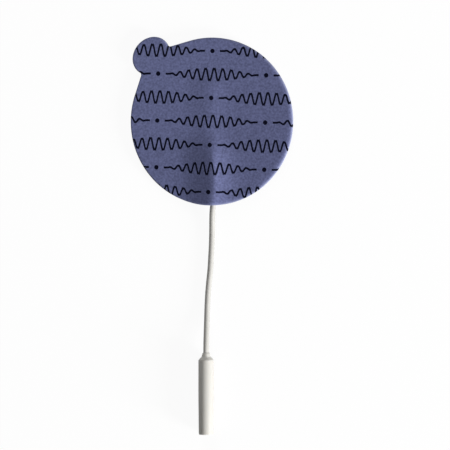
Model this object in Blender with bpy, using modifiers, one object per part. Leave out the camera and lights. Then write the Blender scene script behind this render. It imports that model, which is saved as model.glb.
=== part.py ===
"""A round, self-adhesive TENS electrode pad with its pigtail lead.

The pad is a die-cut foam cover with a lift tab, a carbon-loaded film and a disc of
conductive gel. The lead's insulated end lies between film and cover, its bare strands
fan out over the film, and the cover drapes over both as a long ridge. The lead ends in
a moulded socket for a 2 mm pin. The pad lies gel down on z = 0 with its centre at the
origin, its lift tab at upper left and its lead along -Y.
"""

import math

import bmesh
import bpy
from mathutils import Matrix, Vector

MM = 0.001

# Clearances between separate pieces
LAYER_GAP = 0.05 * MM  # between two laminated layers
FIT_GAP = 0.10 * MM  # all round a piece that sits in a bore
END_GAP = 0.30 * MM  # between two ends that face each other

# The foam cover
PAD_RADIUS = 35.0 * MM
COVER_THICKNESS = 1.2 * MM
COVER_EDGE_ROUND = 0.5 * MM
TAB_DISTANCE = 38.0 * MM  # from the pad's centre to the tab's
TAB_REACH = 7.3 * MM  # from the tab's centre to its tip
TAB_HALF_WIDTH = 8.6 * MM
TAB_ANGLE = math.radians(133.5)
FLARE_ANGLE = math.radians(28)  # either side of the tab, where the rim turns straight
NECK_BLEND = 1.1 * MM  # how far the inward curve reaches along flare and tab
RIM_STEPS = 140
TAB_STEPS = 16
NECK_STEPS = 4

# The layers under it
GEL_INSET = 0.5 * MM
GEL_THICKNESS = 1.0 * MM
GEL_EDGE_ROUND = 0.25 * MM
FILM_INSET = 0.4 * MM
FILM_THICKNESS = 0.15 * MM
DISC_STEPS = 96

# The conductor that lies between film and cover
WIRE_DIAMETER = 2.4 * MM
STRAND_DIAMETER = 0.24 * MM
STRAND_COUNT = 7
STRAND_SPREAD = 1.6 * MM  # how far the outer strands end from the middle one
BUNDLE_DIAMETER = 0.9 * MM
BUNDLE_LENGTH = 2.2 * MM
BUNDLE_PACKING = 0.34  # how far out in the bundle its outer strands lie
BUNDLE_STAGGER = 0.12  # how much higher every other strand lies in it
BUNDLE_DROOP = 0.1 * MM
STRAND_DROP = 9.0 * MM  # from the bundle's end to where the strands reach the film
STRAND_EARLY_TIPS = 3.5 * MM  # how much sooner the outer strands end
STRAND_UNEVEN_TIPS = 1.2 * MM  # and every other strand
STRAND_POINT_SPACING = 2.0 * MM
INSULATION_END_Y = -17.5 * MM
STRAND_TIP_Y = 14.5 * MM

# The ridge that the cover makes over it
RIDGE_FLANK_LEFT = 10.0 * MM
RIDGE_FLANK_RIGHT = 12.0 * MM
RIDGE_ROUND_LEFT = 2.2 * MM  # how softly the crest turns into the flank
RIDGE_ROUND_RIGHT = 0.9 * MM
RIDGE_CURVE_LEFT = 2.0  # 1 is a straight flank, and more is a hollow one
RIDGE_CURVE_RIGHT = 2.1
RIDGE_NARROW = 0.35  # how much narrower the flanks are over the strands
RIDGE_HEADROOM = 0.3 * MM  # between the strands and the cover's underside
RIDGE_SHOULDER = 14.0 * MM  # the ridge falls over this length past the insulation
RIDGE_FADE = 5.5 * MM  # and runs out over this length past the strands
RIDGE_CREST_REACH = 3.0 * MM  # either side of the middle, where the mesh is finer
RIDGE_CELL_X = 1.0 * MM
RIDGE_CELL_Y = 2.5 * MM

# The moulded socket at the lead's far end, measured from its mouth
SOCKET_LENGTH = 34.1 * MM
SOCKET_SHOULDER_DIAMETER = 6.5 * MM
SOCKET_MOUTH_DIAMETER = 6.15 * MM
SOCKET_TAPER_LENGTH = 15.0 * MM
SOCKET_CHAMFER_LENGTH = 1.3 * MM
SOCKET_COLLAR_DIAMETER = 3.8 * MM
SOCKET_COLLAR_LENGTH = 1.6 * MM
SOCKET_COLLAR_WALL = 0.2 * MM  # round the lead, at the collar's thin end
SOCKET_EDGE_ROUND = 0.35 * MM
SOCKET_SHOULDER_ROUND = 0.15 * MM
SOCKET_MOUTH_X = -1.90 * MM
SOCKET_MOUTH_Y = -130.7 * MM
SOCKET_HOLE_LIP = 1.5 * MM  # plastic in front of the contact
SOCKET_LEAD_IN = 0.6 * MM

# The metal contact inside it
PIN_DIAMETER = 2.0 * MM
CONTACT_WALL = 0.3 * MM
CONTACT_LENGTH = 19.0 * MM
CONTACT_WAIST = 0.06 * MM  # how far the waist narrows the bore
CONTACT_WAIST_SHARE = 0.3  # of the way from mouth to crimp
CONTACT_WAIST_HALF = 2.5 * MM
CONTACT_STEP = 0.5 * MM  # the cone between tube and crimp
CONTACT_SEAM = 0.4 * MM
CRIMP_LENGTH = 6.5 * MM
LEAD_IN_CRIMP = 5.0 * MM
TURNED_STEPS = 28

# Heights of the layers
FILM_BOTTOM = GEL_THICKNESS + LAYER_GAP
FILM_TOP = FILM_BOTTOM + FILM_THICKNESS
COVER_BOTTOM = FILM_TOP + LAYER_GAP
WIRE_RADIUS = WIRE_DIAMETER / 2
BURIED_WIRE_Z = COVER_BOTTOM + WIRE_RADIUS
FLOOR_WIRE_Z = WIRE_RADIUS + LAYER_GAP
SOCKET_AXIS_Z = SOCKET_SHOULDER_DIAMETER / 2 + LAYER_GAP
WIRE_RISE = WIRE_DIAMETER + LAYER_GAP
STRAND_RISE = STRAND_DIAMETER + RIDGE_HEADROOM
CONTACT_BACK_Y = SOCKET_MOUTH_Y + SOCKET_HOLE_LIP + END_GAP + CONTACT_LENGTH

# The line that strands and lead follow under the cover, from the strands' tips to the rim
BURIED_LINE = [
    (0.1 * MM, 20.0 * MM),
    (-0.1 * MM, 14.0 * MM),
    (-0.3 * MM, 7.0 * MM),
    (-0.3 * MM, 0.0 * MM),
    (0.1 * MM, -6.0 * MM),
    (0.65 * MM, -11.5 * MM),
    (1.35 * MM, -17.5 * MM),
    (1.7 * MM, -21.5 * MM),
    (1.8 * MM, -25.5 * MM),
    (1.5 * MM, -30.5 * MM),
    (0.85 * MM, -35.0 * MM),
]

# The lead's route from the insulation's cut end to its end in the socket's crimp
LEAD_ROUTE = [
    (1.35 * MM, -17.5 * MM, BURIED_WIRE_Z),
    (1.70 * MM, -21.5 * MM, BURIED_WIRE_Z),
    (1.80 * MM, -25.5 * MM, BURIED_WIRE_Z),
    (1.50 * MM, -30.5 * MM, BURIED_WIRE_Z),
    (0.85 * MM, -35.0 * MM, BURIED_WIRE_Z),
    (0.50 * MM, -38.5 * MM, BURIED_WIRE_Z - 0.12 * MM),
    (0.30 * MM, -42.5 * MM, BURIED_WIRE_Z - 0.60 * MM),
    (0.12 * MM, -47.0 * MM, BURIED_WIRE_Z - 1.08 * MM),
    (-0.07 * MM, -52.0 * MM, FLOOR_WIRE_Z),
    (-0.32 * MM, -56.5 * MM, FLOOR_WIRE_Z),
    (-0.64 * MM, -61.5 * MM, FLOOR_WIRE_Z),
    (-1.10 * MM, -66.0 * MM, FLOOR_WIRE_Z),
    (-1.57 * MM, -71.0 * MM, FLOOR_WIRE_Z),
    (-1.87 * MM, -76.0 * MM, FLOOR_WIRE_Z),
    (-2.00 * MM, -80.5 * MM, FLOOR_WIRE_Z + 0.14 * MM),
    (-2.01 * MM, -85.0 * MM, FLOOR_WIRE_Z + 0.65 * MM),
    (-1.95 * MM, -89.5 * MM, FLOOR_WIRE_Z + 1.42 * MM),
    (-1.90 * MM, -93.5 * MM, SOCKET_AXIS_Z - 0.13 * MM),
    (SOCKET_MOUTH_X, -97.0 * MM, SOCKET_AXIS_Z),
    (SOCKET_MOUTH_X, -103.0 * MM, SOCKET_AXIS_Z),
    (SOCKET_MOUTH_X, CONTACT_BACK_Y - LEAD_IN_CRIMP, SOCKET_AXIS_Z),
]
LEAD_POINT_SPACING = 2.2 * MM


def clear_scene():
    for obj in list(bpy.data.objects):
        bpy.data.objects.remove(obj, do_unlink=True)


def new_collection(name):
    collection = bpy.data.collections.new(name)
    bpy.context.scene.collection.children.link(collection)
    return collection


def new_material(name, color, roughness, metallic=0.0, alpha=1.0):
    material = bpy.data.materials.new(name)
    material.use_nodes = True
    shader = material.node_tree.nodes["Principled BSDF"]
    shader.inputs["Base Color"].default_value = (*color, 1.0)
    shader.inputs["Roughness"].default_value = roughness
    shader.inputs["Metallic"].default_value = metallic
    shader.inputs["Alpha"].default_value = alpha
    return material


def add_object(name, mesh, collection, material=None):
    obj = bpy.data.objects.new(name, mesh)
    collection.objects.link(obj)
    if material:
        mesh.materials.clear()
        mesh.materials.append(material)
    return obj


def smooth(obj):
    obj.data.shade_smooth()
    obj.data.set_sharp_from_angle(angle=math.radians(40))


def hide_helper(obj):
    obj.hide_render = True
    obj.display_type = "WIRE"


def spline_points(route, spacing):
    """Points at an even spacing on a smooth curve through the route's own points."""
    knots = [Vector(point) for point in route]
    ends = [2 * knots[0] - knots[1]] + knots + [2 * knots[-1] - knots[-2]]
    points = []
    for before, start, end, after in zip(ends, ends[1:], ends[2:], ends[3:]):
        steps = max(1, round((end - start).length / spacing))
        for step in range(steps):
            t = step / steps
            points.append(
                0.5
                * (
                    2 * start
                    + (end - before) * t
                    + (2 * before - 5 * start + 4 * end - after) * t**2
                    + (3 * start - before - 3 * end + after) * t**3
                )
            )
    points.append(knots[-1])
    return points


def tube_curve(name, points, diameter, bevel_resolution, collection):
    """A round tube with closed ends along the given points."""
    curve = bpy.data.curves.new(name, "CURVE")
    curve.dimensions = "3D"
    curve.bevel_depth = diameter / 2
    curve.bevel_resolution = bevel_resolution
    curve.use_fill_caps = True
    spline = curve.splines.new("POLY")
    spline.points.add(len(points) - 1)
    for target, point in zip(spline.points, points):
        target.co = (*point, 1.0)
    obj = bpy.data.objects.new(name, curve)
    collection.objects.link(obj)
    return obj


def mesh_from_curve(curve_object, collection, weld=1e-7):
    """The curve's closed mesh, in the curve's place."""
    graph = bpy.context.evaluated_depsgraph_get()
    mesh = bpy.data.meshes.new_from_object(curve_object.evaluated_get(graph))
    shape = bmesh.new()
    shape.from_mesh(mesh)
    bmesh.ops.remove_doubles(shape, verts=shape.verts, dist=weld)
    bmesh.ops.recalc_face_normals(shape, faces=shape.faces)
    shape.to_mesh(mesh)
    shape.free()
    name = curve_object.name
    matrix = curve_object.matrix_world.copy()
    bpy.data.objects.remove(curve_object, do_unlink=True)
    obj = bpy.data.objects.new(name, mesh)
    obj.matrix_world = matrix
    collection.objects.link(obj)
    return obj


def arc(centre, radius, start, end, steps):
    """Points on an arc from one angle to another, both ends included."""
    angles = [start + (end - start) * step / steps for step in range(steps + 1)]
    return [
        (centre[0] + radius * math.cos(angle), centre[1] + radius * math.sin(angle))
        for angle in angles
    ]


def tab_point(angle):
    """A point on the tab's oval, with u from the pad's centre to the tab's, v across."""
    return Vector(
        (TAB_DISTANCE + TAB_REACH * math.cos(angle), TAB_HALF_WIDTH * math.sin(angle))
    )


def half_outline():
    """One side of the die line in u and v, from the tab's tip to the pad's far side."""
    flare_start = PAD_RADIUS * Vector((math.cos(FLARE_ANGLE), math.sin(FLARE_ANGLE)))
    flare_way = Vector((math.sin(FLARE_ANGLE), -math.cos(FLARE_ANGLE)))
    # The flare's straight line meets the oval where both are drawn as a unit circle
    start = Vector(
        ((flare_start.x - TAB_DISTANCE) / TAB_REACH, flare_start.y / TAB_HALF_WIDTH)
    )
    way = Vector((flare_way.x / TAB_REACH, flare_way.y / TAB_HALF_WIDTH))
    along = start.dot(way)
    to_corner = -along - math.sqrt(along**2 - way.dot(way) * (start.dot(start) - 1))
    to_corner /= way.dot(way)
    corner = flare_start + to_corner * flare_way
    meeting = start + to_corner * way
    oval_end = math.atan2(meeting.y, meeting.x) - NECK_BLEND / TAB_HALF_WIDTH
    outline = [tab_point(oval_end * step / TAB_STEPS) for step in range(TAB_STEPS)]
    blend_start = tab_point(oval_end)
    blend_end = corner - NECK_BLEND * flare_way
    for step in range(NECK_STEPS):
        t = step / NECK_STEPS
        outline.append(
            (1 - t) ** 2 * blend_start + 2 * t * (1 - t) * corner + t**2 * blend_end
        )
    outline.append(blend_end)
    turn = math.pi - FLARE_ANGLE
    steps = round(turn / (2 * math.pi) * RIM_STEPS)
    outline += [Vector(xy) for xy in arc((0, 0), PAD_RADIUS, FLARE_ANGLE, math.pi, steps)]
    return outline


def cover_outline():
    """The whole die line: the pad's circle, flared into the oval lift tab."""
    half = half_outline()
    other_half = [Vector((point.x, -point.y)) for point in half[-2:0:-1]]
    turn = Matrix.Rotation(TAB_ANGLE, 2)
    return [turn @ point for point in half + other_half]


def line_x(y):
    """Where strands and lead lie under the cover, as x at a given y."""
    points = spline_points([(x, line_y, 0) for x, line_y in BURIED_LINE], RIDGE_CELL_Y)
    if y >= points[0].y:
        return points[0].x
    for start, end in zip(points, points[1:]):
        if y >= end.y:
            return end.x + (start.x - end.x) * (y - end.y) / (start.y - end.y)
    return points[-1].x


def fade(value, start, end):
    """A smooth step: 1 before start, 0 past end."""
    t = min(max((value - start) / (end - start), 0), 1)
    return 1 - t * t * (3 - 2 * t)


def ridge_height(x, y):
    """How far the cover is lifted off the film at a point."""
    over_wire = fade(y, INSULATION_END_Y, INSULATION_END_Y + RIDGE_SHOULDER)
    over_strands = fade(y, STRAND_TIP_Y, STRAND_TIP_Y + RIDGE_FADE)
    rise = WIRE_RISE * over_wire + STRAND_RISE * over_strands * (1 - over_wire)
    side = x - line_x(y)
    flank = RIDGE_FLANK_LEFT if side < 0 else RIDGE_FLANK_RIGHT
    crest = RIDGE_ROUND_LEFT if side < 0 else RIDGE_ROUND_RIGHT
    curve = RIDGE_CURVE_LEFT if side < 0 else RIDGE_CURVE_RIGHT
    flank *= 1 - RIDGE_NARROW * (1 - over_wire)
    share = (math.hypot(side, crest) - crest) / flank
    return rise * max(1 - share, 0) ** curve


def cut_along(shape, start, end, spacing, normal):
    """Cut the mesh by evenly spaced planes, so that it can bend between them."""
    count = round((end - start) / spacing)
    for index in range(count + 1):
        distance = start + (end - start) * index / count
        bmesh.ops.bisect_plane(
            shape,
            geom=shape.verts[:] + shape.edges[:] + shape.faces[:],
            dist=1e-7,
            plane_co=Vector(normal) * distance,
            plane_no=normal,
        )


def make_cover(collection, material):
    """The foam cover: a die-cut blank with a rounded edge, draped over the conductor."""
    curve = bpy.data.curves.new("backing", "CURVE")
    curve.dimensions = "2D"
    curve.fill_mode = "BOTH"
    curve.extrude = COVER_THICKNESS / 2 - COVER_EDGE_ROUND
    curve.bevel_depth = COVER_EDGE_ROUND
    curve.bevel_resolution = 1
    curve.offset = -COVER_EDGE_ROUND
    spline = curve.splines.new("POLY")
    outline = cover_outline()
    spline.points.add(len(outline) - 1)
    for target, (x, y) in zip(spline.points, outline):
        target.co = (x, y, 0, 1)
    spline.use_cyclic_u = True
    flat = bpy.data.objects.new("backing", curve)
    flat.location.z = COVER_BOTTOM + COVER_THICKNESS / 2
    collection.objects.link(flat)
    bpy.context.view_layer.update()
    cover = mesh_from_curve(flat, collection)

    shape = bmesh.new()
    shape.from_mesh(cover.data)
    bmesh.ops.dissolve_limit(
        shape, angle_limit=math.radians(0.5), verts=shape.verts, edges=shape.edges
    )
    left = line_x(INSULATION_END_Y) - RIDGE_FLANK_LEFT
    right = line_x(INSULATION_END_Y) + RIDGE_FLANK_RIGHT
    top = STRAND_TIP_Y + RIDGE_FADE
    cut_along(shape, left, right, RIDGE_CELL_X, (1, 0, 0))
    cut_along(shape, -RIDGE_CREST_REACH, RIDGE_CREST_REACH, RIDGE_CELL_X, (1, 0, 0))
    cut_along(shape, -PAD_RADIUS, top, RIDGE_CELL_Y, (0, 1, 0))
    for vertex in shape.verts:
        vertex.co.z += ridge_height(vertex.co.x, vertex.co.y)
    shape.to_mesh(cover.data)
    shape.free()
    cover.data.materials.clear()
    cover.data.materials.append(material)
    smooth(cover)
    return cover


def make_disc(name, radius, bottom, thickness, edge_round, collection, material):
    """A flat round layer, with a rounded edge where one is given."""
    mesh = bpy.data.meshes.new(name)
    shape = bmesh.new()
    bmesh.ops.create_cone(
        shape,
        cap_ends=True,
        segments=DISC_STEPS,
        radius1=radius,
        radius2=radius,
        depth=thickness,
    )
    shape.to_mesh(mesh)
    shape.free()
    disc = add_object(name, mesh, collection, material)
    disc.location.z = bottom + thickness / 2
    if edge_round:
        bevel = disc.modifiers.new("edge", "BEVEL")
        bevel.width = edge_round
        bevel.segments = 2
        bevel.limit_method = "ANGLE"
    smooth(disc)
    return disc


def strand_route(index):
    """One strand, from inside the bundle, down onto the film and out to its tip."""
    middle = (STRAND_COUNT - 1) / 2
    side = (index - middle) / middle
    odd = index % 2
    start_y = INSULATION_END_Y + END_GAP + BUNDLE_LENGTH / 2
    bundle_end_y = INSULATION_END_Y + END_GAP + BUNDLE_LENGTH
    landing_y = bundle_end_y + STRAND_DROP
    film_z = FILM_TOP + LAYER_GAP + STRAND_DIAMETER / 2
    tip_y = STRAND_TIP_Y - STRAND_EARLY_TIPS * abs(side) - STRAND_UNEVEN_TIPS * odd
    packed = BUNDLE_PACKING * BUNDLE_DIAMETER * side
    fanned = STRAND_SPREAD * side
    bundle_z = BURIED_WIRE_Z + BUNDLE_STAGGER * BUNDLE_DIAMETER * odd
    halfway_z = bundle_z - (BURIED_WIRE_Z - film_z) / 2
    stations = [
        (start_y, packed, bundle_z),
        (bundle_end_y, packed, bundle_z - BUNDLE_DROOP),
        (bundle_end_y + 0.45 * STRAND_DROP, 1.2 * packed, halfway_z),
        (landing_y, 0.35 * fanned, film_z),
        ((landing_y + tip_y) / 2, 0.7 * fanned, film_z),
        (tip_y, fanned, film_z),
    ]
    return [(line_x(y) + offset, y, z) for y, offset, z in stations]


def make_strands(collection, helpers, material):
    """The bare conductor: a short bundle out of the insulation and its fanned strands."""
    start = INSULATION_END_Y + END_GAP
    bundle_points = [
        (line_x(y), y, BURIED_WIRE_Z) for y in (start, start + BUNDLE_LENGTH)
    ]
    bundle = tube_curve("wire_strands", bundle_points, BUNDLE_DIAMETER, 2, collection)
    bundle = mesh_from_curve(bundle, collection)
    for index in range(STRAND_COUNT):
        points = spline_points(strand_route(index), STRAND_POINT_SPACING)
        name = f"strand_{index + 1}"
        strand = tube_curve(name, points, STRAND_DIAMETER, 1, helpers)
        strand = mesh_from_curve(strand, helpers)
        hide_helper(strand)
        join = bundle.modifiers.new(name, "BOOLEAN")
        join.operation = "UNION"
        join.object = strand
    bundle.data.materials.clear()
    bundle.data.materials.append(material)
    smooth(bundle)
    return bundle


def make_lead(collection, material):
    """The insulated lead, from under the cover to the socket's crimp."""
    points = spline_points(LEAD_ROUTE, LEAD_POINT_SPACING)
    lead = tube_curve("lead_wire", points, WIRE_DIAMETER, 2, collection)
    lead.data.materials.append(material)
    return lead


def turned(name, profile, collection, material):
    """A closed profile of (radius, height) turned about the object's Z axis."""
    mesh = bpy.data.meshes.new(name)
    shape = bmesh.new()
    verts = [shape.verts.new((radius, 0, height)) for radius, height in profile]
    for first, second in zip(verts, verts[1:] + verts[:1]):
        shape.edges.new((first, second))
    shape.to_mesh(mesh)
    shape.free()
    obj = add_object(name, mesh, collection, material)
    screw = obj.modifiers.new("turn", "SCREW")
    screw.axis = "Z"
    screw.steps = TURNED_STEPS
    screw.render_steps = TURNED_STEPS
    screw.use_merge_vertices = True
    screw.merge_threshold = 1e-6
    screw.use_smooth_shade = True
    return obj


def lay_along_lead(obj, depth):
    """Turn the object's Z axis to the socket's axis, at a depth behind the mouth."""
    obj.rotation_euler = (math.radians(90), 0, 0)
    obj.location = (SOCKET_MOUTH_X, SOCKET_MOUTH_Y + depth, SOCKET_AXIS_Z)


def contact_radii():
    """Bore and outside of the contact round the pin, then round the lead."""
    pin_bore = PIN_DIAMETER / 2 + FIT_GAP
    crimp_bore = WIRE_RADIUS + FIT_GAP
    return pin_bore, pin_bore + CONTACT_WALL, crimp_bore, crimp_bore + CONTACT_WALL


def make_sleeve(collection, material):
    """The moulded sleeve: a tapered grip, a chamfered shoulder and a collar on the lead."""
    mouth = SOCKET_MOUTH_DIAMETER / 2
    shoulder = SOCKET_SHOULDER_DIAMETER / 2
    collar = SOCKET_COLLAR_DIAMETER / 2
    back_z = -SOCKET_LENGTH
    collar_z = back_z + SOCKET_COLLAR_LENGTH
    shoulder_z = collar_z + SOCKET_CHAMFER_LENGTH
    hole = PIN_DIAMETER / 2 + FIT_GAP
    _, pin_outside, _, crimp_outside = contact_radii()
    pocket = max(pin_outside, crimp_outside) + FIT_GAP
    pocket_top = -SOCKET_HOLE_LIP
    pocket_bottom = pocket_top - CONTACT_LENGTH - 2 * END_GAP
    lead_bore = WIRE_RADIUS + FIT_GAP
    edge = SOCKET_EDGE_ROUND
    shoulder_round = SOCKET_SHOULDER_ROUND
    profile = arc((mouth - edge, -edge), edge, math.radians(90), 0, 4) + [
        (shoulder, -SOCKET_TAPER_LENGTH),
        (shoulder, shoulder_z + shoulder_round),
        (shoulder - shoulder_round, shoulder_z - shoulder_round / 2),
        (collar, collar_z),
        (lead_bore + SOCKET_COLLAR_WALL, back_z + shoulder_round),
        (lead_bore + SOCKET_COLLAR_WALL - shoulder_round, back_z),
        (lead_bore, back_z),
        (lead_bore, pocket_bottom),
        (pocket, pocket_bottom),
        (pocket, pocket_top),
        (hole, pocket_top),
        (hole, -SOCKET_LEAD_IN),
        (hole + SOCKET_LEAD_IN, 0),
    ]
    sleeve = turned("socket_sleeve", profile, collection, material)
    lay_along_lead(sleeve, 0)
    return sleeve


def make_contact(collection, helpers, material):
    """The rolled contact: a springy tube for the pin, and a crimp round the lead."""
    pin_bore, pin_outside, crimp_bore, crimp_outside = contact_radii()
    flare = CONTACT_WALL / 2
    crimp_z = -(CONTACT_LENGTH - CRIMP_LENGTH)
    waist_z = crimp_z * CONTACT_WAIST_SHARE
    back_z = -CONTACT_LENGTH
    profile = [
        (pin_outside, 0),
        (pin_outside, waist_z + CONTACT_WAIST_HALF),
        (pin_outside - CONTACT_WAIST, waist_z),
        (pin_outside, waist_z - CONTACT_WAIST_HALF),
        (pin_outside, crimp_z + CONTACT_STEP),
        (crimp_outside, crimp_z),
        (crimp_outside, back_z),
        (crimp_bore, back_z),
        (crimp_bore, crimp_z),
        (pin_bore, crimp_z + CONTACT_STEP),
        (pin_bore, waist_z - CONTACT_WAIST_HALF),
        (pin_bore - CONTACT_WAIST, waist_z),
        (pin_bore, waist_z + CONTACT_WAIST_HALF),
        (pin_bore, -flare),
        (pin_bore + flare, 0),
    ]
    contact = turned("socket_contact", profile, collection, material)

    mesh = bpy.data.meshes.new("contact_seam")
    shape = bmesh.new()
    bmesh.ops.create_cube(shape, size=1)
    reach = 2 * crimp_outside
    length = 1.1 * CONTACT_LENGTH
    bmesh.ops.transform(
        shape,
        matrix=Matrix.Translation((0, reach / 2, -CONTACT_LENGTH / 2))
        @ Matrix.Diagonal((CONTACT_SEAM, reach, length, 1)),
        verts=shape.verts,
    )
    shape.to_mesh(mesh)
    shape.free()
    cutter = add_object("contact_seam", mesh, helpers)
    hide_helper(cutter)
    cutter.parent = contact
    cut = contact.modifiers.new("seam", "BOOLEAN")
    cut.operation = "DIFFERENCE"
    cut.object = cutter
    lay_along_lead(contact, SOCKET_HOLE_LIP + END_GAP)
    return contact


def main():
    clear_scene()
    pad = new_collection("electrode_pad")
    helpers = new_collection("electrode_pad_helpers")
    foam = new_material("slate_blue_foam", (0.098, 0.110, 0.209), 0.75)
    carbon = new_material("carbon_film", (0.012, 0.012, 0.013), 0.55)
    gel = new_material("conductive_gel", (0.66, 0.68, 0.70), 0.15, alpha=0.6)
    steel = new_material("bare_strand_steel", (0.45, 0.45, 0.46), 0.35, 1.0)
    vinyl = new_material("white_vinyl", (0.80, 0.80, 0.78), 0.45)
    brass = new_material("nickelled_brass", (0.62, 0.60, 0.55), 0.3, 1.0)

    pieces = [
        make_cover(pad, foam),
        make_disc(
            "conductive_film",
            PAD_RADIUS - GEL_INSET - FILM_INSET,
            FILM_BOTTOM,
            FILM_THICKNESS,
            0,
            pad,
            carbon,
        ),
        make_disc(
            "hydrogel",
            PAD_RADIUS - GEL_INSET,
            0,
            GEL_THICKNESS,
            GEL_EDGE_ROUND,
            pad,
            gel,
        ),
        make_strands(pad, helpers, steel),
        make_lead(pad, vinyl),
        make_sleeve(pad, vinyl),
        make_contact(pad, helpers, brass),
    ]
    origin = bpy.data.objects.new("pad_centre", None)
    pad.objects.link(origin)
    for piece in pieces:
        piece.parent = origin


main()
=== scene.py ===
# %% [markdown]
# # A round electrode pad, lesson in cells
#
# The object is a self-adhesive electrode pad for nerve stimulation: a soft foam disc with a lift
# tab, printed on top, with a thin film and a disc of sticky gel below. A short white lead runs
# in under the foam and ends in a moulded socket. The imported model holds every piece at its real
# size and place. This script gives the pieces their finish, and remakes the soft ones as fine
# meshes in the same places.

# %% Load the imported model
import math

import bmesh
import bpy
from mathutils import Matrix, Vector
from mathutils.geometry import delaunay_2d_cdt
from mathutils.kdtree import KDTree


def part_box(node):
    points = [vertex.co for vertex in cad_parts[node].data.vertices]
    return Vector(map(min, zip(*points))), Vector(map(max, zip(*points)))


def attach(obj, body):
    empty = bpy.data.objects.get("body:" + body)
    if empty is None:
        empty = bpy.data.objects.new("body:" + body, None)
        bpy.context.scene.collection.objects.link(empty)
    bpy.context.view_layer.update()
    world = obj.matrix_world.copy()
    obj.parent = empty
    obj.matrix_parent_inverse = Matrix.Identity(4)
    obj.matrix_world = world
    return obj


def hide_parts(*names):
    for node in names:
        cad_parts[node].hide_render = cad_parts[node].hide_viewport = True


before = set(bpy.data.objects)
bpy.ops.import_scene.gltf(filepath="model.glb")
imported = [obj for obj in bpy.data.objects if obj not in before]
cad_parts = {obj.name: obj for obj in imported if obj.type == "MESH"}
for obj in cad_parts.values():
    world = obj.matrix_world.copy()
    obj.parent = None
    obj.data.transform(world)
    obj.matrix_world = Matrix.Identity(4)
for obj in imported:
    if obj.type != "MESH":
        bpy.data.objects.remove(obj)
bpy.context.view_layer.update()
MM = 0.001
for node in sorted(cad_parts):
    low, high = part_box(node)
    print(node, [round((b - a) / MM, 2) for a, b in zip(low, high)], "mm")

# %% [markdown]
# ## Colours and nodes
#
# Colours are picked on screen as sRGB hex values, but a shader works in linear light, so one
# function turns the first into the second. A second small function adds a node, sets its
# values and links its inputs, which keeps each recipe readable from top to bottom.


# %% Colour and node helpers
def linear(hex_colour):
    """A colour such as "#585D7E" as linear RGBA."""
    channels = [int(hex_colour[i : i + 2], 16) / 255 for i in (1, 3, 5)]
    return [c / 12.92 if c <= 0.04045 else ((c + 0.055) / 1.055) ** 2.4 for c in channels] + [1.0]


def add_node(tree, kind, inputs=None, **settings):
    """Add a node, set its properties, and set or link its inputs by name or number.

    An input may be a value, a socket, or a node, which stands for its first output.
    """
    node = tree.nodes.new(kind)
    for name, value in settings.items():
        setattr(node, name, value)
    for key, value in (inputs or {}).items():
        if isinstance(value, bpy.types.Node):
            value = value.outputs[0]
        if isinstance(value, bpy.types.NodeSocket):
            tree.links.new(value, node.inputs[key])
        else:
            node.inputs[key].default_value = value
    return node


def new_material(name):
    """An empty material, its tree and its output node, ready for a recipe."""
    material = bpy.data.materials.new(name)
    material.use_nodes = True
    tree = material.node_tree
    tree.nodes.clear()
    return material, tree, tree.nodes.new("ShaderNodeOutputMaterial")


def finish_material(material, tree, output, skin):
    """Give the recipe's values and nodes to the shader and show it."""
    shader = add_node(tree, "ShaderNodeBsdfPrincipled", skin)
    tree.links.new(shader.outputs[0], output.inputs["Surface"])
    return material


def place_object(name, data):
    """A new object at the origin, in the scene."""
    obj = bpy.data.objects.new(name, data)
    bpy.context.scene.collection.objects.link(obj)
    return obj


print("slate blue in linear light:", [round(c, 3) for c in linear("#656C92")])

# %% [markdown]
# ## Camera
#
# The photograph looks almost straight down. The pad's circle is 3.4% narrower across than
# along, which is the squeeze of a 15 degree tilt towards the right. A long lens from one and a
# half metres keeps the perspective as flat as it is in a product photograph.

# %% Camera
PIXELS = 450
PIXELS_PER_MM = 2.397
CAMERA_DISTANCE_MM = 1500
CAMERA_TILT = math.radians(15)
CAMERA_TURN = math.radians(-1.8)
AIM = Vector((6.02, -43.14, 2.45)) * MM
SENSOR_WIDTH_MM = 36
CLIP_NEAR = 0.05
CLIP_FAR = 20.0

camera_data = bpy.data.cameras.new("photo_camera")
camera_data.sensor_width = SENSOR_WIDTH_MM
camera_data.lens = PIXELS_PER_MM * CAMERA_DISTANCE_MM * SENSOR_WIDTH_MM / PIXELS
camera_data.clip_start = CLIP_NEAR
camera_data.clip_end = CLIP_FAR
camera = place_object("photo_camera", camera_data)
bpy.context.scene.camera = camera

way = Vector((math.cos(CAMERA_TURN), math.sin(CAMERA_TURN), 0)) * math.sin(CAMERA_TILT)
way.z = math.cos(CAMERA_TILT)
stand = way * CAMERA_DISTANCE_MM * MM + Vector((0, 0, AIM.z))
back = (stand - AIM).normalized()
across = Vector((0, 1, 0)).cross(back).normalized()
turn = Matrix((across, back.cross(across), back)).transposed().to_4x4()
camera.matrix_world = Matrix.Translation(stand) @ turn
print("lens", round(camera_data.lens, 1), "mm")

# %% [markdown]
# ## Floor, sky and lamps
#
# The photograph's ground is plain white. The floor shows the camera a white that carries only a
# part of the shadow, and it throws back the light of a grey table, because the left sides of the
# lead and the socket are dark. A broad lamp stands low on the right. A dim one far behind the
# lift tab and an even sky fill the rest.


# %% Light that is seen, and light on its way
def seen_directly(tree):
    """1 for rays from the camera, off a mirror or through glass, and 0 for light on its way."""
    path = add_node(tree, "ShaderNodeLightPath")
    seen = path.outputs["Is Camera Ray"]
    for kind in ("Is Glossy Ray", "Is Transmission Ray"):
        both = {0: seen, 1: path.outputs[kind]}
        seen = add_node(tree, "ShaderNodeMath", both, operation="MAXIMUM").outputs[0]
    return seen


# %% Floor
FLOOR_HALF = 3.0
FLOOR_GLOW = 0.93
FLOOR_SHADED = 0.10  # how much of the shadow the camera sees
FLOOR_GAP = 0.02 * MM  # keeps the floor from lying in the gel's own face
FLOOR_BOUNCE = "#383837"

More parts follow.
